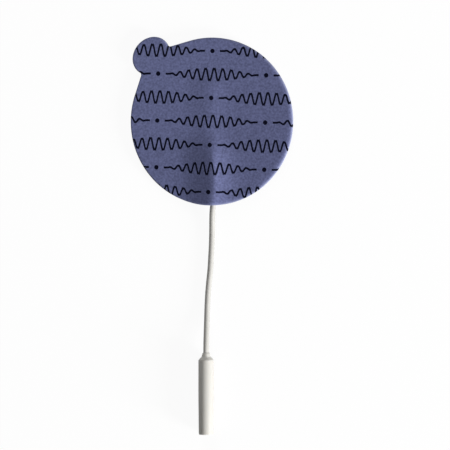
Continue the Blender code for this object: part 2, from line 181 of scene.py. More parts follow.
floor_mesh = bpy.data.meshes.new("floor")
floor_corners = [(-1, -1), (1, -1), (1, 1), (-1, 1)]
floor_mesh.from_pydata(
    [(x * FLOOR_HALF, y * FLOOR_HALF, -FLOOR_GAP) for x, y in floor_corners], [], [(0, 1, 2, 3)]
)
floor = place_object("floor", floor_mesh)

table, tree, output = new_material("white_table")
bounce = add_node(tree, "ShaderNodeBsdfDiffuse", {"Color": linear(FLOOR_BOUNCE)})
shaded = add_node(tree, "ShaderNodeBsdfDiffuse", {"Color": (FLOOR_SHADED,) * 3 + (1,)})
glow = add_node(tree, "ShaderNodeEmission", {"Strength": FLOOR_GLOW})
shown = add_node(tree, "ShaderNodeAddShader", {0: shaded.outputs[0], 1: glow.outputs[0]})
parts = {0: seen_directly(tree), 1: bounce.outputs[0], 2: shown.outputs[0]}
mixed = add_node(tree, "ShaderNodeMixShader", parts)
tree.links.new(mixed.outputs[0], output.inputs["Surface"])
floor_mesh.materials.append(table)
print("floor", 2 * FLOOR_HALF, "m across")

# %% Sky
SKY_STRENGTH = 0.165

world = bpy.data.worlds.new("studio")
world.use_nodes = True
world.node_tree.nodes.clear()
bpy.context.scene.world = world
tree = world.node_tree
sky_light = add_node(tree, "ShaderNodeBackground", {"Strength": SKY_STRENGTH})
sky_shown = add_node(tree, "ShaderNodeBackground", {"Strength": 1.0})
parts = {0: seen_directly(tree), 1: sky_light.outputs[0], 2: sky_shown.outputs[0]}
mixed = add_node(tree, "ShaderNodeMixShader", parts)
add_node(tree, "ShaderNodeOutputWorld", {"Surface": mixed.outputs[0]})
bpy.context.scene.view_settings.view_transform = "Standard"

# %% Lamps
LAMP_DISTANCE = 1.6
LAMP_AIM = Vector((0, -45 * MM, 0))


def add_lamp(name, turn_degrees, height_degrees, size, power):
    """A square lamp that faces the pad, from a turn about Z and a height above the table."""
    data = bpy.data.lights.new(name, "AREA")
    data.shape = "SQUARE"
    data.size = size
    data.energy = power
    lamp = place_object(name, data)
    turned_by, height = math.radians(turn_degrees), math.radians(height_degrees)
    flat = math.cos(height)
    to_lamp = Vector((flat * math.cos(turned_by), flat * math.sin(turned_by), math.sin(height)))
    lamp.location = LAMP_AIM + to_lamp * LAMP_DISTANCE
    lamp.rotation_euler = to_lamp.to_track_quat("Z", "Y").to_euler()
    print(name, power, "W at", height_degrees, "degrees")


add_lamp("key_lamp", turn_degrees=-28, height_degrees=12, size=0.45, power=39.5)
add_lamp("far_lamp", turn_degrees=100, height_degrees=25, size=0.9, power=9.0)

# %% [markdown]
# ## White vinyl
#
# The lead's jacket and the moulded socket are soft PVC. It is a little translucent, so light
# softens under the socket's thick skin, which the thin lead doesn't show. Its gloss is low and
# broad. The skin is never quite even: moulding leaves a faint ripple, and handling leaves duller,
# slightly darker patches.

# %% Vinyl
SOCKET_WHITE = "#D6D4CE"
SOCKET_ROUGHNESS = 0.42
SOCKET_DEPTH = 0.25
LEAD_WHITE = "#CCCAC5"
LEAD_ROUGHNESS = 0.3
LEAD_DEPTH = 0.0
LIGHT_REACH = 1.2 * MM  # how far light travels under the skin
VINYL_RIPPLE = 1.1 * MM
VINYL_RIPPLE_HEIGHT = 0.01 * MM
VINYL_PATCH = 9.0 * MM
PATCH_TONE = 0.94
PATCH_SMOOTHER = 0.06
PATCH_ROUGHER = 0.08


def vinyl_material(name, colour, roughness, depth):
    """Soft PVC: an even milky colour, a low gloss, and a faint ripple in the skin."""
    material, tree, output = new_material(name)
    place = add_node(tree, "ShaderNodeTexCoord").outputs["Object"]
    patches = {"Vector": place, "Scale": 1 / VINYL_PATCH, "Detail": 3.0}
    patch = add_node(tree, "ShaderNodeTexNoise", patches)
    least, most = roughness - PATCH_SMOOTHER, roughness + PATCH_ROUGHER
    rough = {"Value": patch, "To Min": least, "To Max": most}
    clean = linear(colour)
    handled = [channel * PATCH_TONE for channel in clean[:3]] + [1]
    tones = {"Factor": patch, 6: clean, 7: handled}
    ripples = {"Vector": place, "Scale": 1 / VINYL_RIPPLE, "Detail": 2.0}
    ripple = add_node(tree, "ShaderNodeTexNoise", ripples)
    bumps = {"Height": ripple, "Strength": 0.25, "Distance": VINYL_RIPPLE_HEIGHT}
    skin = {
        "Base Color": add_node(tree, "ShaderNodeMix", tones, data_type="RGBA").outputs[2],
        "Roughness": add_node(tree, "ShaderNodeMapRange", rough),
        "IOR": 1.53,
        "Specular IOR Level": 0.2,
        "Subsurface Weight": depth,
        "Subsurface Radius": (1.0, 0.9, 0.8),
        "Subsurface Scale": LIGHT_REACH,
        "Normal": add_node(tree, "ShaderNodeBump", bumps),
    }
    return finish_material(material, tree, output, skin)


socket_vinyl = vinyl_material("moulded_white_vinyl", SOCKET_WHITE, SOCKET_ROUGHNESS, SOCKET_DEPTH)
lead_vinyl = vinyl_material("extruded_white_vinyl", LEAD_WHITE, LEAD_ROUGHNESS, LEAD_DEPTH)
print("vinyl:", socket_vinyl.name, "and", lead_vinyl.name)

# %% [markdown]
# ## The lead
#
# The lead is a thin round wire in white vinyl. It starts between film and foam, comes out at
# the pad's rim, sinks to the table, and rises into the socket's collar. Its route is a short
# list of points, the same one as in the imported model, with one smooth curve through
# them. A curve with a bevel is the plainest way to make a tube, and it stays a curve, so its own
# line is the wire's centreline.

# %% The lead's route
LAYER_GAP = 0.05 * MM
WIRE_DIAMETER = 2.4 * MM
COVER_BOTTOM = 1.25 * MM
BURIED_WIRE_Z = COVER_BOTTOM + WIRE_DIAMETER / 2
FLOOR_WIRE_Z = WIRE_DIAMETER / 2 + LAYER_GAP
SOCKET_AXIS_Z = 3.30 * MM
SOCKET_MOUTH_X = -1.90 * MM
SOCKET_MOUTH_Y = -130.7 * MM

LEAD_ROUTE = [
    (1.35 * MM, -17.5 * MM, BURIED_WIRE_Z),
    (1.70 * MM, -21.5 * MM, BURIED_WIRE_Z),
    (1.80 * MM, -25.5 * MM, BURIED_WIRE_Z),
    (1.50 * MM, -30.5 * MM, BURIED_WIRE_Z),
    (0.85 * MM, -35.0 * MM, BURIED_WIRE_Z),
    (0.50 * MM, -38.5 * MM, BURIED_WIRE_Z - 0.12 * MM),
    (0.30 * MM, -42.5 * MM, BURIED_WIRE_Z - 0.60 * MM),
    (0.12 * MM, -47.0 * MM, BURIED_WIRE_Z - 1.08 * MM),
    (-0.07 * MM, -52.0 * MM, FLOOR_WIRE_Z),
    (-0.32 * MM, -56.5 * MM, FLOOR_WIRE_Z),
    (-0.64 * MM, -61.5 * MM, FLOOR_WIRE_Z),
    (-1.10 * MM, -66.0 * MM, FLOOR_WIRE_Z),
    (-1.57 * MM, -71.0 * MM, FLOOR_WIRE_Z),
    (-1.87 * MM, -76.0 * MM, FLOOR_WIRE_Z),
    (-2.00 * MM, -80.5 * MM, FLOOR_WIRE_Z + 0.14 * MM),
    (-2.01 * MM, -85.0 * MM, FLOOR_WIRE_Z + 0.65 * MM),
    (-1.95 * MM, -89.5 * MM, FLOOR_WIRE_Z + 1.42 * MM),
    (-1.90 * MM, -93.5 * MM, SOCKET_AXIS_Z - 0.13 * MM),
    (SOCKET_MOUTH_X, -97.0 * MM, SOCKET_AXIS_Z),
    (SOCKET_MOUTH_X, -103.0 * MM, SOCKET_AXIS_Z),
    (SOCKET_MOUTH_X, -114.9 * MM, SOCKET_AXIS_Z),
]


def spline_points(route, spacing):
    """Points at an even spacing on a smooth curve through the route's own points."""
    knots = [Vector(point) for point in route]
    ends = [2 * knots[0] - knots[1]] + knots + [2 * knots[-1] - knots[-2]]
    points = []
    for before, start, end, after in zip(ends, ends[1:], ends[2:], ends[3:]):
        steps = max(1, round((end - start).length / spacing))
        for step in range(steps):
            t = step / steps
            line = 2 * start + (end - before) * t
            square = (2 * before - 5 * start + 4 * end - after) * t**2
            cube = (3 * start - before - 3 * end + after) * t**3
            points.append(0.5 * (line + square + cube))
    points.append(knots[-1])
    return points


# %% Make the lead
LEAD_SPACING = 0.8 * MM
LEAD_BEVEL_STEPS = 10

lead_points = spline_points(LEAD_ROUTE, LEAD_SPACING)
lead_curve = bpy.data.curves.new("lead", "CURVE")
lead_curve.dimensions = "3D"
lead_curve.bevel_depth = WIRE_DIAMETER / 2
lead_curve.bevel_resolution = LEAD_BEVEL_STEPS
lead_curve.use_fill_caps = True
spline = lead_curve.splines.new("POLY")
spline.points.add(len(lead_points) - 1)
for target, point in zip(spline.points, lead_points):
    target.co = (*point, 1.0)
lead_curve.materials.append(lead_vinyl)
lead = place_object("lead", lead_curve)
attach(lead, "root")
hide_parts("lead_wire")

# %% [markdown]
# ## The socket's grip
#
# The grip is moulded over the lead's end: a long sleeve that tapers a little to its mouth, a
# chamfered shoulder, and a short collar on the wire. It is a turned shape, so one profile is
# swept about its axis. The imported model's sleeve has few sides. This one has enough for a clean
# edge, its corners are rounded, and the mould's two halves leave a fine line along each side.

# %% The grip's sizes
GRIP_LENGTH = 34.1 * MM
SHOULDER_RADIUS = 3.25 * MM
MOUTH_RADIUS = 3.075 * MM
TAPER_LENGTH = 15.0 * MM
CHAMFER_LENGTH = 1.3 * MM
COLLAR_RADIUS = 1.9 * MM
COLLAR_LENGTH = 1.6 * MM
COLLAR_TIP_RADIUS = 1.5 * MM
LEAD_BORE_RADIUS = 1.3 * MM
PIN_HOLE_RADIUS = 1.1 * MM
POCKET_RADIUS = 1.7 * MM
POCKET_TOP = -1.5 * MM
POCKET_BOTTOM = -21.1 * MM
LEAD_IN = 0.6 * MM
CORNER_ROUND = 0.4 * MM
CORNER_STEPS = 4
CORNER_SHARE = 0.45  # a corner takes at most this share of each side next to it
GRIP_STEPS = 96
SEAM_HEIGHT = 0.025 * MM


def rounded(points, radius):
    """The open profile with each inner corner cut back and rounded."""
    out = [points[0]]
    for before, corner, after in zip(points, points[1:], points[2:]):
        corner = Vector(corner)
        back, ahead = Vector(before) - corner, Vector(after) - corner
        reach = min(radius, back.length * CORNER_SHARE, ahead.length * CORNER_SHARE)
        first = corner + back.normalized() * reach
        last = corner + ahead.normalized() * reach
        for step in range(CORNER_STEPS + 1):
            t = step / CORNER_STEPS
            out.append((1 - t) ** 2 * first + 2 * t * (1 - t) * corner + t**2 * last)
    out.append(points[-1])
    return out


# %% From rings of points to a piece
SHARP_ANGLE = math.radians(35)


def bridge(shape, ring, following):
    """A closed band of faces between two rings of as many points."""
    for index in range(len(ring)):
        after = (index + 1) % len(ring)
        shape.faces.new((ring[index], ring[after], following[after], following[index]))


def close_shape(shape, name):
    """Turn the shape's faces outwards and make it an object."""
    bmesh.ops.recalc_face_normals(shape, faces=shape.faces)
    mesh = bpy.data.meshes.new(name)
    shape.to_mesh(mesh)
    shape.free()
    return place_object(name, mesh)


def smooth_piece(piece, material):
    """Shade a piece smooth between its crisp edges, and give it its material."""
    piece.data.shade_smooth()
    piece.data.set_sharp_from_angle(angle=SHARP_ANGLE)
    piece.data.materials.append(material)
    return piece


# %% Make the grip
def make_grip():
    """The profile of (radius, depth) turned about an axis that runs along -Y to the mouth."""
    collar = -GRIP_LENGTH + COLLAR_LENGTH
    outside = [
        (PIN_HOLE_RADIUS + LEAD_IN, 0),
        (MOUTH_RADIUS, 0),
        (SHOULDER_RADIUS, -TAPER_LENGTH),
        (SHOULDER_RADIUS, collar + CHAMFER_LENGTH),
        (COLLAR_RADIUS, collar),
        (COLLAR_TIP_RADIUS, -GRIP_LENGTH),
        (LEAD_BORE_RADIUS, -GRIP_LENGTH),
    ]
    inside = [
        (LEAD_BORE_RADIUS, POCKET_BOTTOM),
        (POCKET_RADIUS, POCKET_BOTTOM),
        (POCKET_RADIUS, POCKET_TOP),
        (PIN_HOLE_RADIUS, POCKET_TOP),
        (PIN_HOLE_RADIUS, -LEAD_IN),
    ]
    profile = rounded(outside, CORNER_ROUND) + inside
    shape = bmesh.new()
    rings = []
    for step in range(GRIP_STEPS):
        angle = 2 * math.pi * step / GRIP_STEPS
        on_seam = step % (GRIP_STEPS // 2) == GRIP_STEPS // 4
        ring = []
        for radius, depth in profile:
            if on_seam and radius > COLLAR_TIP_RADIUS + CORNER_ROUND:
                radius += SEAM_HEIGHT
            x = SOCKET_MOUTH_X + radius * math.sin(angle)
            z = SOCKET_AXIS_Z + radius * math.cos(angle)
            ring.append(shape.verts.new((x, SOCKET_MOUTH_Y - depth, z)))
        rings.append(ring)
    for ring, following in zip(rings, rings[1:] + rings[:1]):
        bridge(shape, ring, following)
    return smooth_piece(close_shape(shape, "socket_grip"), socket_vinyl)


grip = make_grip()
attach(grip, "root")
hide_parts("socket_sleeve")
print("grip", len(grip.data.polygons), "faces")

# %% [markdown]
# ## Film and gel
#
# Below the foam lie two flat rounds. The film is thin vinyl loaded with carbon, matt black, and
# it spreads the current. The gel is a clear, tacky sheet that is mostly water, and the film shows
# dark through it. Both are turned shapes with the same centre, so one function makes them, from
# a short profile each. The gel is soft, so the rim that was cut out of its sheet is rounded.

# %% Film and gel shapes
DISC_STEPS = 240
DISC_ROWS = 12
EDGE_STEPS = 4
FILM_RADIUS = 34.1 * MM
FILM_BOTTOM = 1.05 * MM
FILM_THICKNESS = 0.15 * MM
FILM_EDGE_ROUND = FILM_THICKNESS / 4
GEL_RADIUS = 34.5 * MM
GEL_THICKNESS = 1.0 * MM
GEL_EDGE_ROUND = 0.25 * MM


def round_edge(radius, bottom, thickness, edge):
    """The profile (radius, height) of a flat round's rim, from its underside to its top."""
    top = bottom + thickness
    low, high = [], []
    for step in range(EDGE_STEPS + 1):
        angle = math.pi / 2 * step / EDGE_STEPS
        reach = radius - edge + edge * math.sin(angle)
        low.append((reach, bottom + edge - edge * math.cos(angle)))
        high.append((reach, top - edge + edge * math.cos(angle)))
    return low + high[::-1]


def make_round(name, rim_profile, material):
    """A closed flat round: rings of faces under and over, and the rim between them."""
    inner = [rim_profile[0][0] * row / DISC_ROWS for row in range(1, DISC_ROWS)]
    rows = [(radius, rim_profile[0][1]) for radius in inner] + rim_profile
    rows += [(radius, rim_profile[-1][1]) for radius in inner[::-1]]
    shape = bmesh.new()
    rings = []
    for radius, z in rows:
        ring = []
        for step in range(DISC_STEPS):
            angle = 2 * math.pi * step / DISC_STEPS
            ring.append(shape.verts.new((radius * math.cos(angle), radius * math.sin(angle), z)))
        rings.append(ring)
    for ring, following in zip(rings, rings[1:]):
        bridge(shape, ring, following)
    for ring in (rings[0], rings[-1]):
        middle = shape.verts.new((0, 0, ring[0].co.z))
        for step in range(DISC_STEPS):
            shape.faces.new((ring[step], ring[(step + 1) % DISC_STEPS], middle))
    return smooth_piece(close_shape(shape, name), material)


# %% Carbon film material
CARBON_BLACK = "#1C1C1F"
CARBON_WORN = "#2B2B2F"
CALENDER_GRAIN = 0.7 * MM  # the real grain is near 0.1 mm and would not show


def carbon_film_material():
    """Calendered carbon-loaded vinyl: matt black with a fine rolled grain and grey scuffs."""
    material, tree, output = new_material("calendered_carbon_vinyl")
    place = add_node(tree, "ShaderNodeTexCoord").outputs["Object"]
    grains = {"Vector": place, "Scale": 1 / CALENDER_GRAIN, "Detail": 3.0}
    grain = add_node(tree, "ShaderNodeTexNoise", grains)
    tones = {"Factor": grain, 6: linear(CARBON_BLACK), 7: linear(CARBON_WORN)}
    rough = {"Value": grain, "To Min": 0.45, "To Max": 0.65}
    bumps = {"Height": grain, "Strength": 0.3, "Distance": 0.02 * MM}
    skin = {
        "Base Color": add_node(tree, "ShaderNodeMix", tones, data_type="RGBA").outputs[2],
        "Roughness": add_node(tree, "ShaderNodeMapRange", rough),
        "Normal": add_node(tree, "ShaderNodeBump", bumps),
    }
    return finish_material(material, tree, output, skin)


# %% Gel material
GEL_TINT = "#DCE4EA"
GEL_CLOUD = "#C3CDD6"
GEL_DIMPLE = 2.4 * MM


def gel_material():
    """Hydrogel: clear and faintly blue, wet to the eye, with shallow dimples from casting."""
    material, tree, output = new_material("cast_hydrogel")
    place = add_node(tree, "ShaderNodeTexCoord").outputs["Object"]
    dimples = {"Vector": place, "Scale": 1 / GEL_DIMPLE, "Detail": 2.0}
    dimple = add_node(tree, "ShaderNodeTexNoise", dimples)
    tones = {"Factor": dimple, 6: linear(GEL_TINT), 7: linear(GEL_CLOUD)}
    wet = {"Value": dimple, "To Min": 0.07, "To Max": 0.2}
    bumps = {"Height": dimple, "Strength": 0.35, "Distance": 0.05 * MM}
    skin = {
        "Base Color": add_node(tree, "ShaderNodeMix", tones, data_type="RGBA").outputs[2],
        "Roughness": add_node(tree, "ShaderNodeMapRange", wet),
        "IOR": 1.37,
        "Transmission Weight": 0.82,
        "Normal": add_node(tree, "ShaderNodeBump", bumps),
    }
    return finish_material(material, tree, output, skin)


# %% Make film and gel
film_rim = round_edge(FILM_RADIUS, FILM_BOTTOM, FILM_THICKNESS, FILM_EDGE_ROUND)
film = make_round("carbon_film", film_rim, carbon_film_material())
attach(film, "root")
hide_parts("conductive_film")

gel_rim = round_edge(GEL_RADIUS, 0, GEL_THICKNESS, GEL_EDGE_ROUND)
gel = make_round("gel_disc", gel_rim, gel_material())
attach(gel, "root")
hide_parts("hydrogel")
print("film", len(film.data.polygons), "faces, gel", len(gel.data.polygons), "faces")

# %% [markdown]
# ## The net in the gel
#
# A thin net is cast into such gel, so that the pad peels off in one piece. It is two layers of
# straight threads, each cut off at the disc's edge. Threads that repeat are work for Geometry
# Nodes: points on a line, one thread on each, scaled to the chord of the circle at its place.
# Trees like this hold long calculations, so a list of steps stands for them, each with the name
# of its result, its operation and its terms, and one loop adds the nodes.

# %% Net sizes
NET_SIZES = {
    "Radius": GEL_RADIUS - 0.7 * MM,
    "Pitch": 1.5 * MM,  # a guess, as the thread is: no net shows from above
    "Thread": 0.13 * MM,
    "Height": 0.45 * MM,
    "Turn": math.radians(21),
}


def run_tree(obj, tree, inputs, name):
    """The mesh that the tree makes from the object, as a new object at the origin."""
    modifier = obj.modifiers.new(tree.name, "NODES")
    modifier.node_group = tree
    for item in tree.interface.items_tree:
        if item.in_out == "INPUT" and item.name in inputs:
            modifier[item.identifier] = inputs[item.name]
    bpy.context.view_layer.update()
    graph = bpy.context.evaluated_depsgraph_get()
    mesh = bpy.data.meshes.new_from_object(obj.evaluated_get(graph))
    obj.modifiers.remove(modifier)
    bpy.data.objects.remove(obj, do_unlink=True)
    return place_object(name, mesh)


def new_tree(name, sizes, others=()):
    """An empty Geometry Nodes tree with an input for each size."""
    tree = bpy.data.node_groups.new(name, "GeometryNodeTree")
    face = tree.interface
    face.new_socket("Geometry", in_out="INPUT", socket_type="NodeSocketGeometry")
    face.new_socket("Material", in_out="INPUT", socket_type="NodeSocketMaterial")
    for other, kind in others:
        face.new_socket(other, in_out="INPUT", socket_type=kind)
    for size, value in sizes.items():
        socket = face.new_socket(size, in_out="INPUT", socket_type="NodeSocketFloat")
        socket.default_value = value
    face.new_socket("Geometry", in_out="OUTPUT", socket_type="NodeSocketGeometry")
    return tree, add_node(tree, "NodeGroupInput").outputs


def add_steps(tree, kind, known, steps):
    """Add a node for each step, whose terms are numbers or the names of known sockets."""
    for name, operation, *terms in steps:
        inputs = {number: known.get(term, term) for number, term in enumerate(terms)}
        known[name] = add_node(tree, kind, inputs, operation=operation).outputs[0]


# %% The net's tree
NET_STEPS = [
    ("width", "MULTIPLY", "Radius", 2.0),
    ("pitches", "DIVIDE", "width", "Pitch"),
    ("count", "FLOOR", "pitches"),
    ("spare", "SUBTRACT", 1.0, "count"),
    ("half spare", "MULTIPLY", "spare", 0.5),
    ("first x", "MULTIPLY", "half spare", "Pitch"),
    ("radius square", "MULTIPLY", "Radius", "Radius"),
    ("x square", "MULTIPLY", "x", "x"),
    ("chord square", "SUBTRACT", "radius square", "x square"),
    ("half chord", "SQRT", "chord square"),
    ("chord", "MULTIPLY", "half chord", 2.0),
    ("thread radius", "MULTIPLY", "Thread", 0.5),
]


def net_tree():
    """Two layers of parallel threads, each as long as the disc is wide at its place."""
    tree, given = new_tree("gel_net", NET_SIZES)
    known = dict(given.items())
    place = add_node(tree, "GeometryNodeInputPosition")
    known["x"] = add_node(tree, "ShaderNodeSeparateXYZ", {0: place}).outputs[0]
    add_steps(tree, "ShaderNodeMath", known, NET_STEPS)
    start = add_node(tree, "ShaderNodeCombineXYZ", {0: known["first x"]})
    step = add_node(tree, "ShaderNodeCombineXYZ", {0: known["Pitch"]})
    line = {"Count": known["count"], "Start Location": start, "Offset": step}
    points = add_node(tree, "GeometryNodeMeshLine", line, mode="OFFSET", count_mode="TOTAL")
    stretch = add_node(tree, "ShaderNodeCombineXYZ", {0: 1.0, 1: known["chord"], 2: 1.0})
    straight = {"Start": (0, -0.5, 0), "End": (0, 0.5, 0)}
    thread_line = add_node(tree, "GeometryNodeCurvePrimitiveLine", straight)
    laid = {"Points": points, "Instance": thread_line, "Scale": stretch}
    threads = add_node(tree, "GeometryNodeInstanceOnPoints", laid)
    lift = add_node(tree, "ShaderNodeCombineXYZ", {2: known["Thread"]})
    cross = {"Geometry": threads, "Translation": lift, "Rotation": (0, 0, math.pi / 2)}
    crossed = add_node(tree, "GeometryNodeTransform", cross)
    both = add_node(tree, "GeometryNodeJoinGeometry", {0: threads})
    tree.links.new(crossed.outputs[0], both.inputs[0])
    real = add_node(tree, "GeometryNodeRealizeInstances", {0: both})
    ring = {"Resolution": 6, "Radius": known["thread radius"]}
    section = add_node(tree, "GeometryNodeCurvePrimitiveCircle", ring)
    tube = {"Curve": real, "Profile Curve": section, "Fill Caps": True}
    tubes = add_node(tree, "GeometryNodeCurveToMesh", tube)
    raised = add_node(tree, "ShaderNodeCombineXYZ", {2: known["Height"]})
    turned_by = add_node(tree, "ShaderNodeCombineXYZ", {2: known["Turn"]})
    put = {"Geometry": tubes, "Translation": raised, "Rotation": turned_by}
    placed = add_node(tree, "GeometryNodeTransform", put)
    single = add_node(tree, "GeometryNodeRealizeInstances", {0: placed})
    painted = {"Geometry": single, "Material": known["Material"]}
    finished = add_node(tree, "GeometryNodeSetMaterial", painted)
    add_node(tree, "NodeGroupOutput", {0: finished})
    return tree


# %% Make the net
THREAD_WHITE = "#E6E8EA"
THREAD_SHADE = "#C9CDD2"
TWIST_LENGTH = 0.4 * MM


def thread_material():
    """Spun polyester: white, soft in gloss, with the faint bands of a twisted thread."""
    material, tree, output = new_material("spun_polyester_thread")
    place = add_node(tree, "ShaderNodeTexCoord").outputs["Object"]
    twists = {"Vector": place, "Scale": 1 / TWIST_LENGTH, "Detail": 1.0}
    twist = add_node(tree, "ShaderNodeTexNoise", twists)
    tones = {"Factor": twist, 6: linear(THREAD_WHITE), 7: linear(THREAD_SHADE)}
    colour = add_node(tree, "ShaderNodeMix", tones, data_type="RGBA").outputs[2]
    skin = {"Base Color": colour, "Roughness": 0.5}
    return finish_material(material, tree, output, skin)


net_start = place_object("net_start", bpy.data.meshes.new("net_start"))
net_inputs = {"Material": thread_material(), **NET_SIZES}
net = run_tree(net_start, net_tree(), net_inputs, "gel_net")
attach(net, "root")
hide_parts("hydrogel")
print("net", len(net.data.polygons), "faces")

# %% [markdown]
# ## Metal inside
#
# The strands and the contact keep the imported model's own meshes, because those shapes are right.
# The strands are drawn stainless steel: bright, with fine lines along the drawing direction. The
# contact was rolled from brass sheet and nickelled, which leaves a warm grey with soft scratches.

# %% Metal materials
LINE_DEPTH = 0.01 * MM
LINE_SMOOTHER = 0.08
LINE_ROUGHER = 0.12


def metal_material(name, bright, dark, roughness, grain_stretch, grain):
    """Bare metal whose tone and gloss vary along fine lines left by making it."""
    material, tree, output = new_material(name)
    place = add_node(tree, "ShaderNodeTexCoord").outputs["Object"]
    mapping = {"Vector": place, "Scale": [1 / (grain * length) for length in grain_stretch]}
    stretched = add_node(tree, "ShaderNodeMapping", mapping)
    lines = {"Vector": stretched, "Scale": 1.0, "Detail": 3.0}
    line = add_node(tree, "ShaderNodeTexNoise", lines)
    tones = {"Factor": line, 6: linear(bright), 7: linear(dark)}
    least, most = roughness - LINE_SMOOTHER, roughness + LINE_ROUGHER
    rough = {"Value": line, "To Min": least, "To Max": most}
    bumps = {"Height": line, "Strength": 0.2, "Distance": LINE_DEPTH}
    skin = {
        "Base Color": add_node(tree, "ShaderNodeMix", tones, data_type="RGBA").outputs[2],
        "Metallic": 1.0,
        "Roughness": add_node(tree, "ShaderNodeMapRange", rough),
        "Normal": add_node(tree, "ShaderNodeBump", bumps),
    }
    return finish_material(material, tree, output, skin)


def dress(node, material):
    """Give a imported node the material."""
    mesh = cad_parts[node].data
    mesh.materials.clear()
    mesh.materials.append(material)


steel = metal_material(
    "drawn_stainless_steel",
    bright="#C9CACC",
    dark="#9C9DA1",
    roughness=0.3,
    grain_stretch=(1, 8, 1),
    grain=0.08 * MM,
)
brass = metal_material(
    "nickelled_brass",
    bright="#CFCBBF",
    dark="#A8A498",
    roughness=0.28,
    grain_stretch=(1, 5, 1),
    grain=0.3 * MM,
)
dress("wire_strands", steel)
dress("socket_contact", brass)
print("metal:", steel.name, "and", brass.name)

# %% [markdown]
# ## The foam's outline
#
# The foam is die-cut: a 70 mm circle that flares in two straight lines into an oval lift tab.
# One half of the outline is worked out from the tab's own sizes and mirrored. The outline is
# then walked at an even spacing, because the fine mesh needs edge points of one size.

# %% Half the die line
PAD_RADIUS = 35.0 * MM
TAB_DISTANCE = 38.0 * MM
TAB_REACH = 7.3 * MM
TAB_HALF_WIDTH = 8.6 * MM
TAB_ANGLE = math.radians(133.5)
FLARE_ANGLE = math.radians(28)
NECK_BLEND = 1.1 * MM
RIM_STEPS = 220
TAB_STEPS = 60
NECK_STEPS = 12


def tab_point(angle):
    """A point on the tab's oval, with u from the pad's centre to the tab's, v across."""
    return Vector(
        (TAB_DISTANCE + TAB_REACH * math.cos(angle), TAB_HALF_WIDTH * math.sin(angle))
    )


def half_outline():
    """One side of the die line in u and v, from the tab's tip to the pad's far side."""
    flare_start = PAD_RADIUS * Vector((math.cos(FLARE_ANGLE), math.sin(FLARE_ANGLE)))
    flare_way = Vector((math.sin(FLARE_ANGLE), -math.cos(FLARE_ANGLE)))
    # The flare's straight line meets the oval where both are drawn as a unit circle
    start = Vector(((flare_start.x - TAB_DISTANCE) / TAB_REACH, flare_start.y / TAB_HALF_WIDTH))
    way = Vector((flare_way.x / TAB_REACH, flare_way.y / TAB_HALF_WIDTH))
    along = start.dot(way)
    to_corner = -along - math.sqrt(along**2 - way.dot(way) * (start.dot(start) - 1))
    to_corner /= way.dot(way)
    corner = flare_start + to_corner * flare_way
    meeting = start + to_corner * way
    oval_end = math.atan2(meeting.y, meeting.x) - NECK_BLEND / TAB_HALF_WIDTH
    outline = [tab_point(oval_end * step / TAB_STEPS) for step in range(TAB_STEPS)]
    blend_start, blend_end = tab_point(oval_end), corner - NECK_BLEND * flare_way
    for step in range(NECK_STEPS):
        t = step / NECK_STEPS
        outline.append((1 - t) ** 2 * blend_start + 2 * t * (1 - t) * corner + t**2 * blend_end)
    for step in range(RIM_STEPS + 1):
        angle = FLARE_ANGLE + (math.pi - FLARE_ANGLE) * step / RIM_STEPS
        outline.append(PAD_RADIUS * Vector((math.cos(angle), math.sin(angle))))
    return outline


# %% The whole die line at an even spacing
OUTLINE_SPACING = 0.35 * MM


def walk(points, spacing):
    """The closed outline again, with its points at an even spacing."""
    closed = points + points[:1]
    lengths = [(b - a).length for a, b in zip(closed, closed[1:])]
    count = round(sum(lengths) / spacing)
    walked = []
    reached, segment = 0.0, 0
    for index in range(count):
        goal = index * sum(lengths) / count
        while reached + lengths[segment] < goal:
            reached += lengths[segment]
            segment += 1
        share = (goal - reached) / lengths[segment]
        walked.append(closed[segment].lerp(closed[segment + 1], share))
    return walked


half_line = half_outline()
other_half = [Vector((point.x, -point.y)) for point in half_line[-2:0:-1]]
tab_turn = Matrix.Rotation(TAB_ANGLE, 2)
rim = walk([tab_turn @ point for point in half_line + other_half], OUTLINE_SPACING)

# %% [markdown]
# ## A fine blank
#
# The blank is a flat sheet of foam. Its edge is pinched by the cutting die, so the skin rolls
# over towards the rim: deep on the right, and shallow on the left. Rows of points follow the
# outline there, close together. The rest of the sheet is an even field of points, and a Delaunay
# triangulation joins field and rows with no thin triangles. An attribute marks the cut wall, where
# the raw foam shows, and more weakly a painted highlight, pale on the right's rolled skin.

# %% Points of the blank
COVER_THICKNESS = 1.2 * MM
EDGE_INSETS = [0.0, 0.08, 0.2, 0.36, 0.55, 0.8, 1.1, 1.45, 1.85, 2.3]  # in millimetres
DEEP_REACH = 1.95 * MM
DEEP_DROP = 0.84 * MM
SHALLOW_REACH = 0.5 * MM
SHALLOW_DROP = 0.42 * MM
DEEP_SIDE = math.radians(-20)
WALL_ROWS = 3
# A painted highlight: the rolled skin on the deep side is made pale as far in as this
HIGHLIGHT_REACH = 0.8 * MM
HIGHLIGHT_SHARE = 0.55
FIELD_SPACING = 0.55 * MM
FIELD_CLEARANCE = 0.6 * FIELD_SPACING  # between the field and the innermost row


def pinch_at(point):
    """How deep the die pinched the edge here, from 0 at the shallow side to 1 at the deep one."""
    return 0.5 + 0.5 * math.cos(math.atan2(point.y, point.x) - DEEP_SIDE)


def edge_drop(inset, pinch):
    """How far the top skin lies below its full height, at a distance in from the die line."""
    reach = SHALLOW_REACH + (DEEP_REACH - SHALLOW_REACH) * pinch
    drop = SHALLOW_DROP + (DEEP_DROP - SHALLOW_DROP) * pinch
    share = 1 - min(inset / reach, 1)
    return drop * (1 - math.sqrt(1 - share**2))


def inset_rows():
    """The die line and its copies further in."""
    rows = []
    for inset in EDGE_INSETS:
        row = []
        for before, point, after in zip(rim[-1:] + rim[:-1], rim, rim[1:] + rim[:1]):
            way = (after - before).normalized()
            row.append(point + Vector((-way.y, way.x)) * inset * MM)
        rows.append(row)
    return rows


